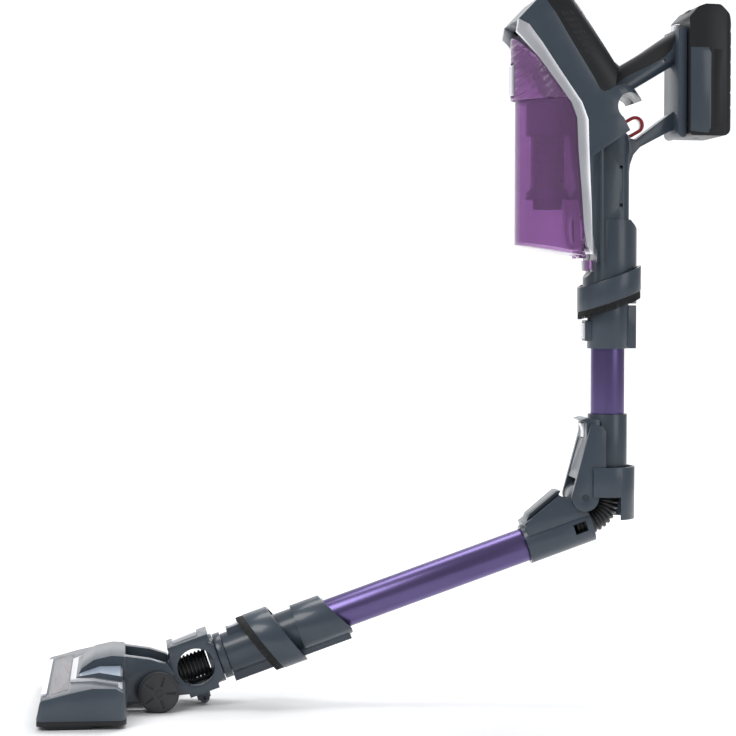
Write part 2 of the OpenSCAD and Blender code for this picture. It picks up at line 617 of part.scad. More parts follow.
module tube_end_housing() color([0.25, 0.30, 0.36]) at_lower_socket() {
    socket_body(80, 130);
    // raised collar with a slanted mouth
    difference() {
        translate([0, 0, 79]) cylinder(r = 25, h = 54);
        translate([0, 0, 70]) cylinder(r = tube_r + seat_gap, h = 80);
        translate([-26, 0, 110]) rotate([0, -28, 0]) translate([-60, -60, 0]) cube([200, 120, 80]);
    }
}
module neck_release_button() color([0.9, 0.9, 0.9]) at_lower_socket() socket_button();

// ---------------------------------------------------------------- neck
yoke_x = -446;
yoke_z = 2;
yoke_in = 19.6;
yoke_out = 25.6;
axle_in_lower = [-lower_reach, -neck_lift];
swivel_r = 19;
// Connector: a spigot into the wand socket and a spigot that the yoke turns on
module neck_connector() color([0.22, 0.27, 0.33]) at_lower() rotate([0, -90, 0]) difference() {
    union() {
        translate([0, 0, 352]) cylinder(r = tube_r, h = 62);
        translate([0, 0, 412 + slide_gap]) cylinder(r = 24.5, h = 8);
        translate([0, 0, 412 + slide_gap]) cylinder(r = swivel_r, h = 19);
    }
    translate([0, 0, 340]) cylinder(r = hose_r + 1.2, h = 100);
}
module neck_yoke() color([0.30, 0.36, 0.42]) at_lower() difference() {
    union() {
        rotate([0, -90, 0]) translate([0, 0, 420.8 + slide_gap]) cylinder(r = 26, h = 10);
        both_sides(yoke_in, yoke_out) {
            translate([yoke_x, 0, yoke_z]) rod(29, 0, yoke_out - yoke_in);
            translate([axle_in_lower[0], 0, axle_in_lower[1]]) rod(10, 0, yoke_out - yoke_in);
            side([[-490, -15], [-455, -24], [-455, 10], [-486, 4]], 0, yoke_out - yoke_in);
        }
        block([-468, -yoke_out, 24], [-424, yoke_out, 31]);
        block([-462, -yoke_out, -26.5], [-430, yoke_out, -21.5]);
        // fork of the small caster
        both_sides(6.4, 10) {
            block([-456, 0, caster_z], [-442, 3.6, -26]);
            translate([caster_x, 0, caster_z]) rod(4.2, 0, 3.6);
        }
    }
    rotate([0, -90, 0]) translate([0, 0, 400]) cylinder(r = swivel_r + run_gap, h = 34);
    translate([yoke_x, 0, yoke_z]) rod(window_r, -30, 30);
    translate([axle_in_lower[0], 0, axle_in_lower[1]]) rod(axle_d / 2 + run_gap, -30, 30);
    translate([caster_x, 0, caster_z]) rod(caster_pin_r + run_gap, -12, 12);
    block([-462, -9.4, 26.6], [-434, 9.4, 33]);
    // the connector's flange turns in front of the yoke's disc
    block([-420.8 - slide_gap, -40, -50], [-400, 40, 50]);
}
window_r = 19.5;
module head_release_pedal() color([0.9, 0.9, 0.9]) at_lower()
    side(rounded([[-461.6, 28, 0.5], [-434.4, 28, 0.5], [-434.4, 35, 2], [-461.6, 34, 2]]), -9, 9);
caster_x = -449;
caster_z = -35;
caster_pin_r = 2;
module rear_caster() color([0.08, 0.08, 0.08]) at_lower() translate([caster_x, 0, caster_z]) {
    rod(5.5, -5.8, 5.8);
    rod(caster_pin_r, -9.8, 9.8);
}
// Hose from the connector to the head: straight through the yoke, then a bend that levels out
neck_bend = 90;
neck_hose_end = -30.5;           // its end against the head, in the head's frame
bend_start = neck_hose_end + neck_bend * sin(lower_slope);
bend_start_z = wheel_r + neck_lift / cos(lower_slope) + bend_start * tan(lower_slope);
duct_z = bend_start_z - neck_bend * (1 - cos(lower_slope));
module neck_hose() color([0.06, 0.06, 0.06]) {
    at_head() translate([bend_start, 0, bend_start_z]) rotate([0, 90 - lower_slope, 0])
        translate([0, 0, run_gap])
            linear_extrude(lower_reach - 432.2 - neck_lift * tan(lower_slope)
                           - bend_start / cos(lower_slope))
                hose_section();
    at_head() translate([neck_hose_end, 0, duct_z + neck_bend]) rotate([90, 0, 0]) rotate([0, 0, -90])
        rotate_extrude(angle = lower_slope) translate([neck_bend, 0]) hose_section();
}

// ---------------------------------------------------------------- floor head
half_w = head_w / 2;
roller_x = -95;
roller_z = roller_d / 2 + 1.2;
chamber_r = roller_d / 2 + 1.6;
sole_z = 9;
roller_half = 103;
cheek_y0 = 26.6;
cheek_y1 = 38.6;
wing_outline = rounded([[-head_front + 1.5, sole_z, 2], [-33, sole_z, 3], [-33, 34, 5], [-43, 41, 6],
                        [-66, 41.5, 6],
                        [-88, 37, 6], [-107, 32, 4], [-head_front + 6, 29.5, 5]]);
hump_outline = rounded([[-84, sole_z, 0], [-34, sole_z, 0], [-34, 58.6, 3], [-48, 59.6, 8], [-66, 56, 8],
                        [-79, 47, 4], [-84, 38, 1]]);
plateau_outline = [[-84, 20], [-37, 20], [-37, 49], [-60, 49], [-84, 41]];
// Plan of the raised plateau: narrow behind the window, wide at the back
plateau_plan = [[-84, -57], [-37, -103], [-37, 103], [-84, 57]];
trim_w = 6;
trim_plan = [[-84 - trim_w, -60], [-41, -109], [-37, -106], [-37, -103.4], [-83.6, -57.4], [-83.6, 57.4],
             [-37, 103.4], [-37, 106], [-41, 109], [-84 - trim_w, 60]];
module trim_prism(z0, z1) translate([0, 0, z0]) linear_extrude(z1 - z0) polygon(trim_plan);
cheek_outline_head = rounded([[-36, sole_z, 0], [2, sole_z, 6], [12, 20, 6], [16, 40, 4], [9, 48, 4], [-8, 53.6, 5],
                              [-36, 58, 0]]);
window_x0 = -111;
window_x1 = -91;
module head_plan(h) linear_extrude(h) polygon(rounded(
    [[-head_front, -half_w + 4, 8], [-33, -half_w, 10], [-33, half_w, 10],
     [-head_front, half_w - 4, 8]], 8));
module head_housing() color([0.30, 0.36, 0.44]) at_head() difference() {
    union() {
        intersection() {
            side(wing_outline, -half_w, half_w);
            head_plan(80);
        }
        side(hump_outline, -44, 44);
        intersection() {
            side(plateau_outline, -half_w, half_w);
            linear_extrude(80) polygon(plateau_plan);
        }
        both_sides(cheek_y0, cheek_y1) side(cheek_outline_head, 0, cheek_y1 - cheek_y0);
        block([-38, -36, sole_z], [-30, 36, 40]);
    }
    // roller chamber, open below
    translate([roller_x, 0, roller_z]) rod(chamber_r, -roller_half - 1, roller_half + 1);
    block([roller_x - chamber_r, -roller_half - 1, 0], [roller_x + chamber_r, roller_half + 1, roller_z]);
    translate([roller_x, 0, roller_z]) rod(journal_r + run_gap, -roller_half - 7, roller_half + 7);
    // window opening over the roller
    block([window_x0, -roller_half + 3, 20], [window_x1, roller_half - 3, 70]);
    side([[-118.7, 28.9], [-112.5, 30.1], [-112.5, 60], [-118.7, 60]], -97.1, 97.1);
    difference() {
        trim_prism(34, 60);
        linear_extrude(80) polygon(plateau_plan);
    }
    // suction duct from the roller chamber to the neck hose
    translate([-80, 0, duct_z]) rotate([0, 90, 0]) cylinder(r = hose_r - hose_wall, h = 60);
    // the yoke swings between the cheeks
    translate([0, 0, wheel_r]) rod(34, -cheek_y0 + eps, cheek_y0 - eps);
    // room for the roller motor
    block([-70, 46, 0], [-47, 99, 36]);
    translate([0, 0, wheel_r]) rod(axle_d / 2 + seat_gap, -60, 60);
}
module window() color([0.8, 0.8, 0.85, 0.4]) at_head()
    side([[window_x0 + 0.2, 28.6], [window_x1 - 0.2, 34.2], [window_x1 - 0.2, 36.4], [window_x0 + 0.2, 31]],
         -roller_half + 3.2, roller_half - 3.2);
led_section = [[-118.6, 29], [-112.6, 30.2], [-112.6, 32.4], [-118.2, 31.6]];
module led_strip() color([0.9, 0.9, 0.95]) at_head()
    side(led_section, -97, 97);
module head_trim() color([0.85, 0.85, 0.85]) at_head() difference() {
    intersection() {
        trim_prism(34 + eps, 60);
        side([[-92, 30], [-30, 30], [-30, 44], [-66, 43.6], [-92, 38.6]], -half_w, half_w);
    }
    linear_extrude(80) polygon(plateau_plan);
}
module sole_plate() color([0.12, 0.12, 0.12]) at_head() difference() {
    union() {
        intersection() {
            translate([0, 0, 4]) head_plan(sole_z - 4 - eps);
            block([-head_front + 2, -half_w, 0], [-33, half_w, 20]);
        }
        // skids that the head rests on
        both_sides(roller_half + 4, half_w - 5)
            side([[-118, 4.5], [-110, 0], [-68, 0], [-66, 4.5]], 0, half_w - roller_half - 9);
    }
    block([roller_x - chamber_r, -roller_half - 1, -5], [roller_x + chamber_r, roller_half + 1, 20]);
}
journal_r = 4;
module roller_core() color([0.5, 0.5, 0.5]) at_head() translate([roller_x, 0, roller_z]) {
    rod(core_d / 2, -roller_half + 1, roller_half - 1);
    rod(journal_r, -roller_half - 6, roller_half + 6);
}
module roller_bristles() color([0.7, 0.06, 0.08]) at_head()
    translate([roller_x, 0, roller_z]) difference() {
    for (a = [0 : 60 : 300]) rotate([0, a, 0])
        block([core_d / 2 - 1, 1 - roller_half + 2, -2], [roller_d / 2 - 0.2, roller_half - 3, 2]);
    rod(core_d / 2, -roller_half, roller_half);
}
module roller_motor() color([0.55, 0.55, 0.57]) at_head() translate([-58, 0, 22.4]) rod(10.5, 46, 98);
module wheel() difference() {
    union() {
        rod(wheel_r, 0, wheel_w - 2);
        rod(wheel_r - 2, 0, wheel_w);
    }
    rod(axle_d / 2 + run_gap, -1, wheel_w + 1);
    for (a = [0 : 72 : 288]) rotate([0, a, 0]) block([7.5, wheel_w - 1.6, -1.2], [17.5, wheel_w + 1, 1.2]);
}
wheel_y = cheek_y1 + slide_gap;
module wheel_left() color([0.2, 0.2, 0.2]) at_head() translate([0, wheel_y, wheel_r]) wheel();
module wheel_right() color([0.2, 0.2, 0.2]) at_head()
    mirror([0, 1, 0]) translate([0, wheel_y, wheel_r]) wheel();
module axle_pins() color("silver") at_head() both_sides(yoke_in - 0.4, wheel_y + wheel_w - 1)
    translate([0, 0, wheel_r]) rod(axle_d / 2, 0, wheel_y + wheel_w - 0.6 - yoke_in);

body_shell_left();
body_shell_right();
shell_screws();
trim_ring();
vent_cover();
exhaust_filter();
grip_cover();
motor_can();
impeller();
control_board();
inlet_pipe();
neck_sleeve();
tube_release_button();
brush_collar_upper();
bristles_upper();
trigger();
battery_dock();
speed_button();
battery_case();
battery_cells();
battery_latch();
bin_shell();
bin_top();
foam_filter();
bin_catch();
separator_body();
mesh_screen();
separator_skirt();
bin_lid();
lid_hinge_pin();
bin_release_tab();
upper_tube();
flex_upper_housing();
flex_button();
flex_pin();
hose_guard();
flex_hose();
flex_lower_housing();
flex_top_cover();
lower_tube();
tube_end_housing();
neck_release_button();
brush_collar_lower();
bristles_lower();
neck_connector();
neck_yoke();
head_release_pedal();
rear_caster();
neck_hose();
head_housing();
window();
led_strip();
head_trim();
sole_plate();
roller_core();
roller_bristles();
roller_motor();
wheel_left();
wheel_right();
axle_pins();
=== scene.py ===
# %% [markdown]
# # A cordless stick vacuum
# The working parts come in as a fixed frame: every tube, shell, hinge and wheel already has
# its true size and place. This lesson gives them the surfaces of the real machine. Moulded
# edges are never knife sharp, hoses are ribbed, brushes are made of hairs, and each material
# answers light in its own way. Nothing is moved or resized, so the joints still work.

# %% Load the frame
import json
import random
from math import atan2, cos, pi, radians, sin, tan

import bmesh
import bpy
from mathutils import Matrix, Vector


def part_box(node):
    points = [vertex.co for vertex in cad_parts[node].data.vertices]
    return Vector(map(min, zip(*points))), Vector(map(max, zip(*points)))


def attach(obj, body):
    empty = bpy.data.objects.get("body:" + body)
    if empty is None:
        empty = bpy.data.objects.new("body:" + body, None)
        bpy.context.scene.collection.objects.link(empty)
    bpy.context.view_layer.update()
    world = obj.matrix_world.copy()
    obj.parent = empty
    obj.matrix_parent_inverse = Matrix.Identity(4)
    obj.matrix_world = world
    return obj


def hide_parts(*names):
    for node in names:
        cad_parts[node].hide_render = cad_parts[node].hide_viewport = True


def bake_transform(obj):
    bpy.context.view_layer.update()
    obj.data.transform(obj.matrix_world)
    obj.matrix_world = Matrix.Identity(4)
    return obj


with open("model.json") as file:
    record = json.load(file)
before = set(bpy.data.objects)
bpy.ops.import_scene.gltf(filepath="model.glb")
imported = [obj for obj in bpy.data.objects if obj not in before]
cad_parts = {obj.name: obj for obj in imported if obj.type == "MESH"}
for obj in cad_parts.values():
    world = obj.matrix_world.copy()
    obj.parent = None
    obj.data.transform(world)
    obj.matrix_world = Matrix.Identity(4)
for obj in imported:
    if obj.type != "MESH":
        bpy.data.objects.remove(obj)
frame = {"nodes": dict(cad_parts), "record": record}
random.seed(4)
MM = 0.001
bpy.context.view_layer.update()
joints = {j["name"]: j for j in frame["record"]["behaviour"]["joints"]}
body_of_node = {n: b for b, ns in frame["record"]["behaviour"]["bodies"].items() for n in ns}
slot_of_node = {s["node"]: s["material_slot"] for s in frame["record"]["subparts"]}

# %% [markdown]
# Three places matter for measuring: the flex joint's pivot, the upper tube's axis above it,
# and the wheel axle of the floor head. Each part of the machine is drawn in a frame of its
# own, in millimetres, so a point on the handset is given from the upper tube's axis, a point
# on the lower wand along that wand, and a point on the head from its axle.

# %% Local frames of handset, lower wand and head
pivot = Vector(joints["flex_fold"]["pos_m"])
axle = Vector(joints["neck_pitch"]["pos_m"])
wand_dir = -Vector(joints["head_slide"]["axis"])          # up the lower wand, away from the head
wand_up = Vector((-wand_dir.z, 0, wand_dir.x))
tube_low, tube_high = (Vector(v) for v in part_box("upper_tube"))
handset_origin = Vector(((tube_low.x + tube_high.x) / 2, 0, pivot.z))
pivot_offset = handset_origin.x - pivot.x
slope = atan2(wand_dir.z, wand_dir.x)


def on_handset(x, y, z):
    """A point of the handset, in millimetres from the upper tube's axis at the pivot's height."""
    return handset_origin + Vector((x, y, z)) * MM


def on_lower(x, y, z):
    """A point of the lower wand: x up the wand from the pivot, z across it."""
    return pivot + wand_dir * x * MM + wand_up * (z * MM - pivot_offset) + Vector((0, y * MM, 0))


def on_head(x, y, z):
    """A point of the floor head, from the floor under its wheel axle."""
    return Vector((axle.x + x * MM, y * MM, z * MM))


print("wand slope", round(slope * 180 / pi, 1), "degrees; pivot", pivot[:], "axle", axle[:])

# %% [markdown]
# ## Finishes
# Almost everything is moulded plastic, and moulded plastic is never one flat colour. It has a
# faint spark-eroded grain, slow cloudy changes in gloss, and a slightly different tone from
# place to place. One helper builds that from two noise patterns: a slow one for tone and
# gloss, and a fine one for the grain's bump. Metals use the same helper with the noise
# stretched along the direction in which they were drawn or brushed.


# %% One helper for moulded and drawn surfaces
CLOUD_SCALE = 22            # of the slow noise; a larger number gives smaller clouds
GRAIN_HEIGHT = 0.0002       # metres between the grain's hollows and tops
GLOSS_SPREAD = 0.15         # share by which the gloss wanders to either side


def finish(name, colour, roughness, metallic=0.0, coat=0.0, grain=1400, depth=0.06, cloud=0.1,
           stretch=(1, 1, 1), tilt=0.0, transmission=0.0, ior=1.46, sheen=0.0):
    """Makes a procedural finish: cloudy tone, uneven gloss and a fine grain."""
    mat = bpy.data.materials.new(name)
    mat.use_nodes = True
    nodes, links = mat.node_tree.nodes, mat.node_tree.links
    shader = nodes["Principled BSDF"]
    shader.inputs["Metallic"].default_value = metallic
    shader.inputs["Coat Weight"].default_value = coat
    shader.inputs["Coat Roughness"].default_value = 0.12
    shader.inputs["Transmission Weight"].default_value = transmission
    shader.inputs["IOR"].default_value = ior
    shader.inputs["Sheen Weight"].default_value = sheen
    place = nodes.new("ShaderNodeTexCoord")
    turn = nodes.new("ShaderNodeMapping")
    turn.inputs["Rotation"].default_value = (0, tilt, 0)
    turn.inputs["Scale"].default_value = stretch
    links.new(place.outputs["Object"], turn.inputs["Vector"])
    slow = nodes.new("ShaderNodeTexNoise")
    slow.inputs["Scale"].default_value = CLOUD_SCALE
    slow.inputs["Detail"].default_value = 4
    links.new(turn.outputs["Vector"], slow.inputs["Vector"])
    fine = nodes.new("ShaderNodeTexNoise")
    fine.inputs["Scale"].default_value = grain
    fine.inputs["Detail"].default_value = 2
    links.new(turn.outputs["Vector"], fine.inputs["Vector"])
    tone = nodes.new("ShaderNodeValToRGB")
    tone.color_ramp.elements[0].position = 0.35
    tone.color_ramp.elements[1].position = 0.65
    tone.color_ramp.elements[0].color = [c * (1 - cloud) for c in colour] + [1]
    tone.color_ramp.elements[1].color = [min(1, c * (1 + cloud)) for c in colour] + [1]
    links.new(slow.outputs["Fac"], tone.inputs["Fac"])
    links.new(tone.outputs["Color"], shader.inputs["Base Color"])
    gloss = nodes.new("ShaderNodeMapRange")
    gloss.inputs["To Min"].default_value = roughness * (1 - GLOSS_SPREAD)
    gloss.inputs["To Max"].default_value = min(1, roughness * (1 + GLOSS_SPREAD))
    links.new(slow.outputs["Fac"], gloss.inputs["Value"])
    links.new(gloss.outputs["Result"], shader.inputs["Roughness"])
    bump = nodes.new("ShaderNodeBump")
    bump.inputs["Strength"].default_value = depth
    bump.inputs["Distance"].default_value = GRAIN_HEIGHT
    links.new(fine.outputs["Fac"], bump.inputs["Height"])
    links.new(bump.outputs["Normal"], shader.inputs["Normal"])
    return mat


# %% [markdown]
# The palette: blue-grey satin shells, black grained grips and vents, silver-lacquered trim,
# purple anodised aluminium, tinted clear plastic for the bin, and a glossy red trigger. Dark
# colours look darker than the numbers suggest, because most of what we see on them is gloss.

# %% The palette
BODY_BLUE = (0.036, 0.050, 0.068)
ANODISED_PURPLE = (0.125, 0.095, 0.225)
finishes = {
    "body_blue": finish("satin blue-grey shell", BODY_BLUE, 0.34, coat=0.25, cloud=0.06),
    "black": finish("black moulded plastic", (0.006, 0.0065, 0.008), 0.42, grain=1100,
                    depth=0.12),
    "soft_black": finish("soft-touch grip", (0.008, 0.008, 0.009), 0.6, grain=900, depth=0.3,
                         sheen=0.2),
    "silver": finish("silver lacquer", (0.66, 0.67, 0.70), 0.3, metallic=0.85, coat=0.3,
                     cloud=0.04),
    "steel": finish("turned steel", (0.6, 0.6, 0.62), 0.28, metallic=1.0),
    "motor": finish("plated steel can", (0.42, 0.42, 0.44), 0.36, metallic=1.0),
    "fan": finish("machined aluminium fan", (0.72, 0.73, 0.76), 0.3, metallic=1.0),
    "board": finish("circuit board", (0.02, 0.11, 0.05), 0.45),
    "filter": finish("pleated filter paper", (0.72, 0.72, 0.66), 0.9, grain=600, depth=0.4),
    "foam": finish("open filter foam", (0.04, 0.04, 0.05), 0.95, grain=500, depth=1.0),
    "pale_blue": finish("slate blue dock", (0.042, 0.057, 0.077), 0.4, coat=0.15, cloud=0.05),
    "white": finish("white gloss plastic", (0.78, 0.79, 0.81), 0.22, coat=0.3, cloud=0.03),
    "red": finish("glossy red trigger", (0.36, 0.004, 0.014), 0.16, coat=0.6, cloud=0.06),
    "bristle": finish("black nylon bristles", (0.012, 0.012, 0.013), 0.5, cloud=0.2),
    "cells": finish("cell sleeves", (0.05, 0.25, 0.36), 0.3),
    "bin_clear": finish("violet tinted clear plastic", (0.50, 0.29, 0.56), 0.07,
                        transmission=0.84, depth=0.01, ior=1.3, cloud=0.05),
    "separator": finish("aubergine cyclone plastic", (0.16, 0.05, 0.20), 0.3, coat=0.3),
    "anodised": finish("purple anodised tube", ANODISED_PURPLE, 0.3, metallic=0.95,
                       cloud=0.08, stretch=(1, 1, 0.03), depth=0.05),
    "hose": finish("black hose rubber", (0.014, 0.014, 0.015), 0.4, coat=0.1, depth=0.1),
    "dark_cover": finish("dark navy cover", (0.018, 0.026, 0.037), 0.3, coat=0.3),
    "window_clear": finish("clear window", (0.55, 0.56, 0.60), 0.04, transmission=0.96,
                           depth=0.01, cloud=0.02, ior=1.15),
    "led": finish("frosted lamp lens", (0.80, 0.82, 0.88), 0.35, coat=0.2, cloud=0.03),
    "roller_core": finish("grey roller felt", (0.2, 0.19, 0.2), 0.8, grain=700, depth=0.6),
    "roller_bristle": finish("red roller bristles", (0.34, 0.012, 0.03), 0.45, cloud=0.2),
    "wheel": finish("charcoal tyre", (0.03, 0.031, 0.034), 0.5, grain=800, depth=0.2),
}
finishes["anodised_lower"] = finish("purple anodised tube, sloping", ANODISED_PURPLE, 0.3,
                                    metallic=0.95, cloud=0.08, stretch=(0.03, 1, 1),
                                    tilt=slope, depth=0.05)
finishes["insert"] = finish("pale insert of the head", (0.30, 0.36, 0.44), 0.3, coat=0.3,
                            cloud=0.03)

# %% [markdown]
# Two surfaces carry a relief too fine to be worth real geometry. The top of the bin has slanting
# ribs, and the cyclone's screen is a sheet drilled with rows of pinholes. A wave pattern and a
# grid of cells, each turned into a bump, catch the light as the real relief does.


# %% Diagonal ribs and rows of pinholes
def add_bump(mat, pattern, tilt, distance, strength=1.0):
    """Puts a procedural relief pattern, turned by a tilt about Y, under a finish's grain."""
    nodes, links = mat.node_tree.nodes, mat.node_tree.links
    place = nodes.new("ShaderNodeTexCoord")
    turn = nodes.new("ShaderNodeMapping")
    turn.inputs["Rotation"].default_value = (0, tilt, 0)
    links.new(place.outputs["Object"], turn.inputs["Vector"])
    links.new(turn.outputs["Vector"], pattern.inputs["Vector"])
    relief = nodes.new("ShaderNodeBump")
    relief.inputs["Distance"].default_value = distance
    relief.inputs["Strength"].default_value = strength
    grain = next(n for n in nodes if n.bl_idname == "ShaderNodeBump" and n != relief)
    height = pattern.outputs[0 if pattern.bl_idname == "ShaderNodeTexVoronoi" else "Fac"]
    links.new(height, relief.inputs["Height"])
    links.new(relief.outputs["Normal"], grain.inputs["Normal"])


RIB_TILT = radians(38)
RIB_HEIGHT = 0.0012
PINHOLE_DEPTH = 0.0015
ribbed_top = finish("violet bin top with diagonal ribs", (0.46, 0.25, 0.52), 0.1,
                    transmission=0.75, depth=0.01, ior=1.3, cloud=0.05)
ribs = ribbed_top.node_tree.nodes.new("ShaderNodeTexWave")
ribs.wave_type, ribs.bands_direction, ribs.wave_profile = "BANDS", "Z", "SIN"
ribs.inputs["Scale"].default_value = 42
add_bump(ribbed_top, ribs, RIB_TILT, RIB_HEIGHT)
finishes["bin_top"] = ribbed_top

screen = finish("perforated cyclone screen", (0.14, 0.045, 0.18), 0.34, coat=0.2)
pinholes = screen.node_tree.nodes.new("ShaderNodeTexVoronoi")
pinholes.inputs["Scale"].default_value = 420
pinholes.inputs["Randomness"].default_value = 0.0
add_bump(screen, pinholes, 0, PINHOLE_DEPTH)
finishes["mesh_screen"] = screen
print(len(finishes), "finishes")

# %% [markdown]
# Every part of the frame gets its finish first, so that nothing is ever left plain. Parts
# that are remade finer below are then hidden behind their finer piece.

# %% Finish every part of the frame
SPECIAL = {"lower_tube": "anodised_lower", "bin_top": "bin_top", "mesh_screen": "mesh_screen"}
for node, obj in frame["nodes"].items():
    obj.data.materials.clear()
    obj.data.materials.append(finishes[SPECIAL.get(node, slot_of_node[node])])


# %% [markdown]
# ## Moulded edges
# A plain solid has edges of no width, and real light never sees one. Each moulded part gets
# the small round that its tool would leave: the part's mesh is copied and its doubles merged,
# flat triangles are joined into whole faces, and the sharp edges are bevelled. Faces that meet
# at a shallow angle are curved surfaces, so they are shaded smooth instead.


# %% Rounded copy of a part
SMOOTH_ANGLE = 32           # degrees; faces that meet flatter than this are one curved surface
FLAT_ANGLE = 0.6            # degrees; triangles that meet flatter than this are one flat face
DOUBLES = 2e-6              # metres; points nearer than this are one point


def keep(bm, name, material, body, replaces=(), smooth_angle=SMOOTH_ANGLE):
    """Turns a bmesh into a finished piece that rides on a body and stands for CAD nodes."""
    bmesh.ops.recalc_face_normals(bm, faces=bm.faces)
    mesh = bpy.data.meshes.new(name)
    bm.to_mesh(mesh)
    bm.free()
    obj = bpy.data.objects.new(name, mesh)
    bpy.context.collection.objects.link(obj)
    mesh.materials.append(material)
    mesh.shade_smooth()
    mesh.set_sharp_from_angle(angle=radians(smooth_angle))
    if body:
        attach(obj, body)
    if replaces:
        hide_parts(*replaces)
    return obj


def merged_copy(node):
    """The node's mesh with its loose triangles joined and its flat faces made whole."""
    bm = bmesh.new()
    bm.from_mesh(frame["nodes"][node].data)
    bmesh.ops.remove_doubles(bm, verts=bm.verts, dist=DOUBLES)
    bmesh.ops.dissolve_limit(bm, angle_limit=radians(FLAT_ANGLE), verts=bm.verts, edges=bm.edges,
                             use_dissolve_boundaries=False)
    return bm


def soften(node, width, segments=2, sharp=38):
    """Bevels a node's sharp edges by a width in millimetres."""
    bm = merged_copy(node)
    edges = [e for e in bm.edges if e.is_manifold and e.calc_face_angle(0) > radians(sharp)]
    bmesh.ops.bevel(bm, geom=edges, offset=width * MM, offset_type="OFFSET", segments=segments,
                    profile=0.5, affect="EDGES", clamp_overlap=True, material=-1, loop_slide=True)
    bmesh.ops.triangulate(bm, faces=[f for f in bm.faces if len(f.verts) > 4])
    return keep(bm, node + "_moulded", finishes[SPECIAL.get(node, slot_of_node[node])],
                body_of_node[node], (node,))


# %% Round the moulded parts, each by a width in millimetres
edge_widths = {
    "body_shell_left": 0.8, "body_shell_right": 0.8, "trim_ring": 0.5, "vent_cover": 0.7,
    "grip_cover": 0.5, "neck_sleeve": 0.6, "tube_release_button": 0.6, "brush_collar_upper": 0.5,
    "trigger": 0.9, "battery_dock": 0.9, "speed_button": 0.8, "battery_case": 1.0,
    "battery_latch": 0.6, "bin_top": 0.6, "bin_catch": 0.6, "separator_body": 0.4,
    "separator_skirt": 0.3, "bin_lid": 0.5, "bin_release_tab": 0.6, "upper_tube": 0.2,
    "flex_upper_housing": 0.7, "flex_button": 0.6, "hose_guard": 0.6, "flex_lower_housing": 0.7,
    "flex_top_cover": 0.7, "lower_tube": 0.2, "tube_end_housing": 0.6, "neck_release_button": 0.6,
    "brush_collar_lower": 0.5, "neck_connector": 0.5, "neck_yoke": 0.8, "head_release_pedal": 0.6,
    "rear_caster": 0.5, "head_housing": 0.9, "led_strip": 0.3, "head_trim": 0.3,
    "sole_plate": 0.6, "wheel_left": 0.8, "wheel_right": 0.8,
}
for node, width in edge_widths.items():
    piece = soften(node, width)
    print(node, len(piece.data.polygons), "faces")

# %% Smooth shading on the parts kept as they are
for node, obj in frame["nodes"].items():
    if node not in edge_widths:
        obj.data.shade_smooth()
        obj.data.set_sharp_from_angle(angle=radians(SMOOTH_ANGLE))

# %% [markdown]
# ## Ribbed hoses
# Two black hoses bridge the moving joints. A vacuum hose is a spring-like corrugated tube, so
# it can bend without kinking. It is swept here: a ring of points is extruded from station to
# station along the hose's real route, wide on each rib and narrow in each groove, then back
# along the inside, and the two ends are bridged.


# %% Sweep a ring along stations
def ring_place(centre, direction, radius):
    """The transform that lays a unit ring across a route."""
    turn = direction.to_track_quat("Z", "Y").to_matrix().to_4x4()
    return Matrix.Translation(centre) @ turn @ Matrix.Diagonal((radius, radius, 1, 1))


def sweep(stations, segments=40):
    """A closed ring-shaped tube through (centre, direction, radius) stations, out and back."""
    bm = bmesh.new()
    places = [ring_place(*s) for s in stations]
    bmesh.ops.create_circle(bm, segments=segments, radius=1, matrix=places[0])
    first = ring = list(bm.edges)
    for before, after in zip(places, places[1:]):
        made = bmesh.ops.extrude_edge_only(bm, edges=ring)["geom"]
        ring = [g for g in made if isinstance(g, bmesh.types.BMEdge)]
        points = [g for g in made if isinstance(g, bmesh.types.BMVert)]
        ring = [e for e in ring if all(v in points for v in e.verts)]
        bmesh.ops.transform(bm, matrix=after @ before.inverted(), verts=points)
    bmesh.ops.bridge_loops(bm, edges=first + ring)
    return bm


RIB_PITCH = 4.2 * MM
GROOVE = 1.9 * MM           # depth of the groove between two ribs
RIB_ROUND = 0.3 * MM        # how far a rib's shoulders lie under its top
HOSE_WALL = 2.6 * MM        # from a rib's top to the hose's bore
HOSE_SMOOTH = 60            # degrees; keeps the ribs soft


def ribbed_stations(route, length, outer, inner):
    """Stations of a corrugated hose; route(s) gives a centre and a direction at distance s."""
    out = []
    ribs = max(2, round(length / RIB_PITCH))
    step = length / ribs
    for i in range(ribs):
        for share, radius in ((0.04, outer - GROOVE), (0.22, outer - RIB_ROUND), (0.34, outer),
                              (0.58, outer), (0.7, outer - RIB_ROUND), (0.9, outer - GROOVE)):
            out.append((*route((i + share) * step), radius))
    back = [(*route(length * (1 - k / 12)), inner) for k in range(13)]
    return out + back


# %% Hose of the flex joint
flex_top = 35.5 * MM        # straight part above the pivot's height
flex_tail = 17.5 * MM       # straight part that enters the lower wand
arc_angle = pi / 2 - slope
arc_length = pivot_offset * arc_angle


def flex_route(s):
    """Down the upper housing, round the pivot, then along the lower wand."""
    if s < flex_top:
        return handset_origin + Vector((0, 0, flex_top - s)), Vector((0, 0, -1))
    turned = min(arc_angle, (s - flex_top) / pivot_offset)
    centre = pivot + Vector((cos(turned), 0, -sin(turned))) * pivot_offset
    ahead = Vector((-sin(turned), 0, -cos(turned)))
    return centre + ahead * max(0, s - flex_top - arc_length), ahead


hose_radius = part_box("flex_hose")[1].y
bm = sweep(ribbed_stations(flex_route, flex_top + arc_length + flex_tail, hose_radius,
                           hose_radius - HOSE_WALL))
flex_hose = keep(bm, "flex_hose_ribbed", finishes["hose"], None, ("flex_hose",),
                 smooth_angle=HOSE_SMOOTH)
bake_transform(flex_hose)
print("flex hose", len(flex_hose.data.polygons), "faces, radius", hose_radius)

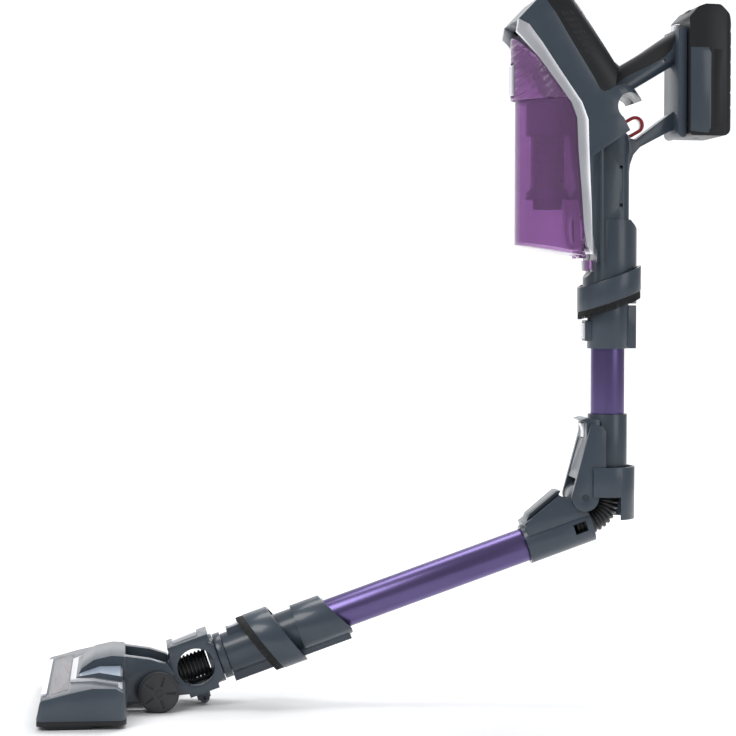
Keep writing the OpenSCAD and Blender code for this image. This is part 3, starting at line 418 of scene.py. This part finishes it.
# %% Hose of the neck
neck_low, neck_high = (Vector(v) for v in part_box("neck_hose"))
NECK_BEND = 90 * MM         # radius of the bend where the hose levels out
bend_end_x = neck_low.x
bend_start_x = bend_end_x + NECK_BEND * sin(slope)
on_axis = on_lower(-450, 0, 0)
bend_start = on_axis - wand_dir * ((on_axis.x - bend_start_x) / wand_dir.x)
neck_top = on_lower(-433, 0, 0)
neck_straight = (neck_top - bend_start).length
neck_length = neck_straight + NECK_BEND * slope


def neck_route(s):
    """Down the lower wand's axis, then a gentle bend that levels out at the head."""
    if s < neck_straight:
        return neck_top - wand_dir * s, -wand_dir
    turned = max(0, slope - (s - neck_straight) / NECK_BEND)
    hub = bend_start + wand_up * NECK_BEND
    ahead = Vector((-cos(turned), 0, -sin(turned)))
    return hub + Vector((sin(turned), 0, -cos(turned))) * NECK_BEND, ahead


bm = sweep(ribbed_stations(neck_route, neck_length, neck_high.y, neck_high.y - HOSE_WALL))
neck_hose = keep(bm, "neck_hose_ribbed", finishes["hose"], None, ("neck_hose",),
                 smooth_angle=HOSE_SMOOTH)
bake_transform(neck_hose)
print("neck hose", len(neck_hose.data.polygons), "faces")

# %% [markdown]
# ## Bristles
# The two sliding collars end in a fringe of stiff nylon, and the roller carries red tufts in a
# chevron that sweeps dirt to the middle. A few hundred short tapered tufts read as bristles,
# while single hairs would cost far more and look the same. Each tuft is one small cone, set a
# little off its neighbours' line as real tufts are.


# %% One tuft, placed by its root and tip
def tuft(bm, root, tip, wide, narrow, sides=5):
    """A tapered tuft of bristle from root to tip."""
    way = tip - root
    place = Matrix.Translation((root + tip) / 2) @ way.to_track_quat("Z", "Y").to_matrix().to_4x4()
    bmesh.ops.create_cone(bm, cap_ends=True, segments=sides, radius1=wide, radius2=narrow,
                          depth=way.length, matrix=place)


# %% Fringes of the two collars
COLLAR_RISE = 24.0          # how far the slanted collar rises across its width
COLLAR_SHIFT = 1.2          # how far the collar's middle lies off its socket's axis
COLLAR_RADIUS = 34.0
FRINGE = 8.6                # length of bristle that shows under the collar
FRINGE_RADII = (32.1, 33.0)
TUFTS_PER_ROW = 250
UPPER_MOUTH = 158           # the upper socket's mouth, above the pivot
LOWER_MOUTH = 412           # the lower socket's mouth, down the lower wand
UPPER_COLLAR, LOWER_COLLAR = 39, 29     # lowest point of each collar above its mouth


def collar_point(place, low, angle, radius, drop):
    """A point under a collar's slanted lower edge, in its socket's own frame."""
    x = COLLAR_SHIFT + radius * cos(angle)
    edge = low + COLLAR_RISE * (x - COLLAR_SHIFT + COLLAR_RADIUS) / (2 * COLLAR_RADIUS)
    return place(x, radius * sin(angle), edge - drop)


def upper_socket(x, y, z):
    """A point of the handset's socket, z above its mouth."""
    return on_handset(x, y, z + UPPER_MOUTH)


def lower_socket(x, y, z):
    """A point of the lower tube's end socket, z above its mouth."""
    return on_lower(z - LOWER_MOUTH, y, -x)


for name, place, low in (("bristles_upper", upper_socket, UPPER_COLLAR),
                         ("bristles_lower", lower_socket, LOWER_COLLAR)):
    bm = bmesh.new()
    for row, radius in enumerate(FRINGE_RADII):
        for i in range(TUFTS_PER_ROW):
            angle = 2 * pi * (i + row / 2) / TUFTS_PER_ROW
            lean = random.uniform(-0.012, 0.012)
            root = collar_point(place, low, angle, radius, -0.4)
            tip = collar_point(place, low, angle + lean, radius + random.uniform(-0.3, 0.3),
                               FRINGE - random.uniform(0, 0.5))
            tuft(bm, root, tip, 0.42 * MM, 0.24 * MM)
    keep(bm, name + "_tufts", finishes["bristle"], body_of_node[name], (name,))
print("two fringes of", len(FRINGE_RADII) * TUFTS_PER_ROW, "tufts")

# %% Tufts of the roller
roller = Vector(joints["roller_spin"]["pos_m"])
core_low, core_high = (Vector(v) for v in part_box("roller_bristles"))
tip_radius = (core_high.x - core_low.x) / 2
bm = bmesh.new()
CHEVRON = 1.1               # radians that a row turns from its middle to its end
ROOT_RADIUS = 10            # millimetres, inside the roller's core
rows, per_row = 6, 76
for row in range(rows):
    for i in range(per_row):
        y = core_low.y + (core_high.y - core_low.y) * (i + 0.5) / per_row
        for side in (-1, 0, 1):
            angle = 2 * pi * row / rows + CHEVRON * abs(y) / core_high.y + side * 0.1
            out = Vector((cos(angle), 0, sin(angle)))
            base = roller + Vector((0, y, 0))
            tip = base + out * (tip_radius - random.uniform(0, 0.5) * MM)
            tuft(bm, base + out * ROOT_RADIUS * MM, tip, 0.85 * MM, 0.7 * MM, sides=4)
keep(bm, "roller_tufts", finishes["roller_bristle"], "roller", ("roller_bristles",))
print("roller:", rows * per_row * 3, "tufts")

# %% [markdown]
# ## Panels and insets
# Moulded machines are assembled from shells in two or three tones, and the seams between them
# catch the light. A panel is a few corner points made into one face, pushed out along Y and
# bevelled. It sits a fraction of a millimetre proud of the shell under it.


# %% A bevelled panel on both sides
def panel(bm, place, corners, y0, y1, edge=0.35):
    """A flat panel between two depths, its corners given in a local frame."""
    points = [bm.verts.new(place(x, y0, z)) for x, z in corners]
    face = bm.faces.new(points)
    made = bmesh.ops.extrude_face_region(bm, geom=[face])["geom"]
    moved = [g for g in made if isinstance(g, bmesh.types.BMVert)]
    bmesh.ops.translate(bm, verts=moved, vec=Vector((0, (y1 - y0) * MM, 0)))
    rims = list({e for v in moved for e in v.link_edges})
    bmesh.ops.bevel(bm, geom=rims, offset=edge * MM, segments=2, profile=0.5, affect="EDGES",
                    clamp_overlap=True, material=-1)


def mirrored_panels(name, place, corners, y0, y1, material, body, edge=0.35):
    """The same panel on the left and the right side, as one piece."""
    bm = bmesh.new()
    panel(bm, place, corners, y0, y1, edge)
    panel(bm, place, corners, -y0, -y1, edge)
    return keep(bm, name, material, body)


# %% Battery flanks
battery_low, battery_high = (Vector(v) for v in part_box("battery_case"))
flank = battery_high.y / MM
SUNK = 0.8                  # how deep in the case's wall a panel starts
flank_corners = [(79, 388), (98, 386), (101, 392), (101, 470), (98, 476), (79, 476)]
ridge_corners = [(104, 392), (113, 392), (113, 474), (104, 474)]
mirrored_panels("battery_flanks", on_handset, flank_corners, flank - SUNK, flank + 0.5,
                finishes["body_blue"], "battery", 0.4)
mirrored_panels("battery_ridges", on_handset, ridge_corners, flank - SUNK, flank + 0.3,
                finishes["black"], "battery", 0.3)
print("battery half width", round(flank, 1), "mm")

# %% [markdown]
# The battery's front is closed by a flat plate between its walls, behind which the cells sit.
# It is one stretched cube with its edges rounded.

# %% Front plate of the battery
bm = bmesh.new()
wall, plate = 3.2 * MM, 1.4 * MM
PLATE_FOOT, PLATE_HEAD = 397.2, 499.8   # millimetres above the pivot
low = Vector((battery_low.x + 0.3 * MM, battery_low.y + wall, on_handset(0, 0, PLATE_FOOT).z))
high = Vector((low.x + plate, battery_high.y - wall, on_handset(0, 0, PLATE_HEAD).z))
size = Matrix.Diagonal((*(high - low), 1))
bmesh.ops.create_cube(bm, size=1, matrix=Matrix.Translation((low + high) / 2) @ size)
bmesh.ops.bevel(bm, geom=bm.edges[:], offset=0.3 * MM, segments=2, profile=0.5,
                affect="EDGES", material=-1)
keep(bm, "battery_front_plate", finishes["black"], "battery")

# %% [markdown]
# The exhaust leaves through rows of louvres beside the motor. Real louvres are openings with a
# shaded inside, and at this size a shallow black slot, painted shade, reads the same as a deep
# one. Each row leans along the cover's edge, so the slots are placed along a slanted line.

# %% Exhaust louvres as black slots of painted shade
bay_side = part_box("vent_cover")[1].y / MM
columns, rows_down = 3, 7
FIRST_X, FIRST_Z = -62, 510             # millimetres; corner of the uppermost louvre
COLUMN_STEP, ROW_STEP = 4.5, 6.5
LEAN = 4.15                 # how far each row steps along as the cover's edge leans
for side in (-1, 1):
    bm = bmesh.new()
    for i in range(columns):
        for k in range(rows_down):
            x = FIRST_X + i * COLUMN_STEP + k * LEAN
            z = FIRST_Z - k * ROW_STEP + i * 0.3
            corners = [(x, z), (x + 3.5, z + 0.3), (x + 6.1, z - 3.6), (x + 2.6, z - 3.9)]
            # each slot is a thin black panel: painted shade for the inside of an opening
            panel(bm, on_handset, corners, side * (bay_side - 0.6), side * (bay_side + 0.12), 0.15)
    keep(bm, "painted_shade_louvres_" + ("left" if side > 0 else "right"), finishes["soft_black"],
         "handset")
print("louvres:", 2 * columns * rows_down)

# %% [markdown]
# ## Insert of the floor head
# A pale plate is set into the top of the head behind the window. It follows the housing's
# own surface, so it is taken from it: the housing's faces are cut to the plate's outline with
# planes, the rest is deleted, and what is left is thickened outwards by a third of a millimetre.


# %% A thin plate that follows a part's surface
def surface_plate(node, cuts, lift):
    """Faces of a node inside some planes, thickened outwards.

    Each plane is a point on it and its outward side.
    """
    bm = merged_copy(node)
    for point, outward in cuts:
        bmesh.ops.bisect_plane(bm, geom=bm.verts[:] + bm.edges[:] + bm.faces[:], plane_co=point,
                               plane_no=outward, clear_outer=True, dist=1e-6)
    hidden = [f for f in bm.faces if f.normal.z < 0.05]
    bmesh.ops.delete(bm, geom=hidden, context="FACES")
    bmesh.ops.delete(bm, geom=[v for v in bm.verts if not v.link_faces], context="VERTS")
    before = max(v.co.z for v in bm.verts)
    bmesh.ops.solidify(bm, geom=bm.faces[:], thickness=-lift * MM)
    print("plate grew upwards by", round((max(v.co.z for v in bm.verts) - before) / MM, 2), "mm")
    return bm


# %% Insert beside the hump
INSERT_REAR, INSERT_FRONT = -82, -39    # millimetres from the wheel axle
INSERT_SIDE = 45            # clear of the hump in the middle
INSERT_FLOOR = 42.2         # the plate stays above this height
for side in (-1, 1):
    cuts = [(on_head(INSERT_REAR, 0, 0), Vector((-1, 0, 0))),
            (on_head(INSERT_FRONT, 0, 0), Vector((1, 0, 0))),
            (on_head(0, side * INSERT_SIDE, 0), Vector((0, -side, 0))),
            (on_head(0, 0, INSERT_FLOOR), Vector((0, 0, -1)))]
    bm = surface_plate("head_housing", cuts, 0.35)
    keep(bm, "head_insert_" + ("left" if side > 0 else "right"), finishes["insert"], "head")

# %% [markdown]
# ## Floor, light and camera
# A large pale floor with soft studio light from above, in front and behind: wide lamps make
# the long smooth highlights that show a satin shell's form.

# %% Floor that curves up into a back wall
STUDIO = 4.0                # metres; half the floor's width, and the wall's height
COVE = 1.6                  # metres; where the floor starts to curve up
bm = bmesh.new()
bmesh.ops.create_grid(bm, x_segments=1, y_segments=1, size=STUDIO)
back = [e for e in bm.edges if all(v.co.y > 0 for v in e.verts)]
made = bmesh.ops.extrude_edge_only(bm, edges=back)["geom"]
raised = [g for g in made if isinstance(g, bmesh.types.BMVert)]
bmesh.ops.translate(bm, verts=raised, vec=(0, 0, STUDIO))
bmesh.ops.bevel(bm, geom=back, offset=COVE, segments=24, profile=0.5, affect="EDGES",
                material=-1)
floor_mesh = bpy.data.meshes.new("studio floor")
bm.to_mesh(floor_mesh)
bm.free()
floor_mesh.shade_smooth()
floor = bpy.data.objects.new("studio floor", floor_mesh)
bpy.context.collection.objects.link(floor)
floor_mesh.materials.append(finish("pale floor paint", (0.88, 0.88, 0.885), 0.7, grain=300,
                                   depth=0.02, cloud=0.01))

# %% Lamps and a bright surround


def lamp(name, place, target, size, power):
    """A square soft lamp that points at a target."""
    data = bpy.data.lights.new(name, "AREA")
    data.size = size
    data.energy = power
    obj = bpy.data.objects.new(name, data)
    obj.location = place
    obj.rotation_euler = (Vector(target) - Vector(place)).to_track_quat("-Z", "Y").to_euler()
    bpy.context.collection.objects.link(obj)


middle = (0, 0, 0.4)
lamp("key", (-1.6, -1.6, 2.3), middle, 1.4, 40)
lamp("fill", (1.9, -1.9, 1.0), middle, 1.2, 9)
lamp("rim", (1.2, 1.6, 1.9), middle, 1.2, 26)
lamp("backdrop", (0, 1.2, 3.2), (0, 3.6, 0.6), 2.6, 110)
world = bpy.data.worlds.new("studio")
bpy.context.scene.world = world
world.use_nodes = True
world.node_tree.nodes["Background"].inputs["Color"].default_value = (0.94, 0.96, 1.0, 1)
world.node_tree.nodes["Background"].inputs["Strength"].default_value = 0.42

# %% Camera
camera_data = bpy.data.cameras.new("camera")
camera_data.sensor_width = 36
camera_data.lens = 102.7    # a long lens, so the tall machine keeps its proportions
camera = bpy.data.objects.new("camera", camera_data)
camera.location = (-0.2681, -2.205, 0.4452)
PAN = radians(6.466)        # turned a little to the right of straight ahead
DIP = radians(2.3844)       # and tipped a little down
forward = Vector((sin(PAN), cos(PAN), -tan(DIP)))
camera.rotation_euler = forward.to_track_quat("-Z", "Y").to_euler()
bpy.context.collection.objects.link(camera)
bpy.context.scene.camera = camera
bpy.context.scene.view_settings.view_transform = "Standard"
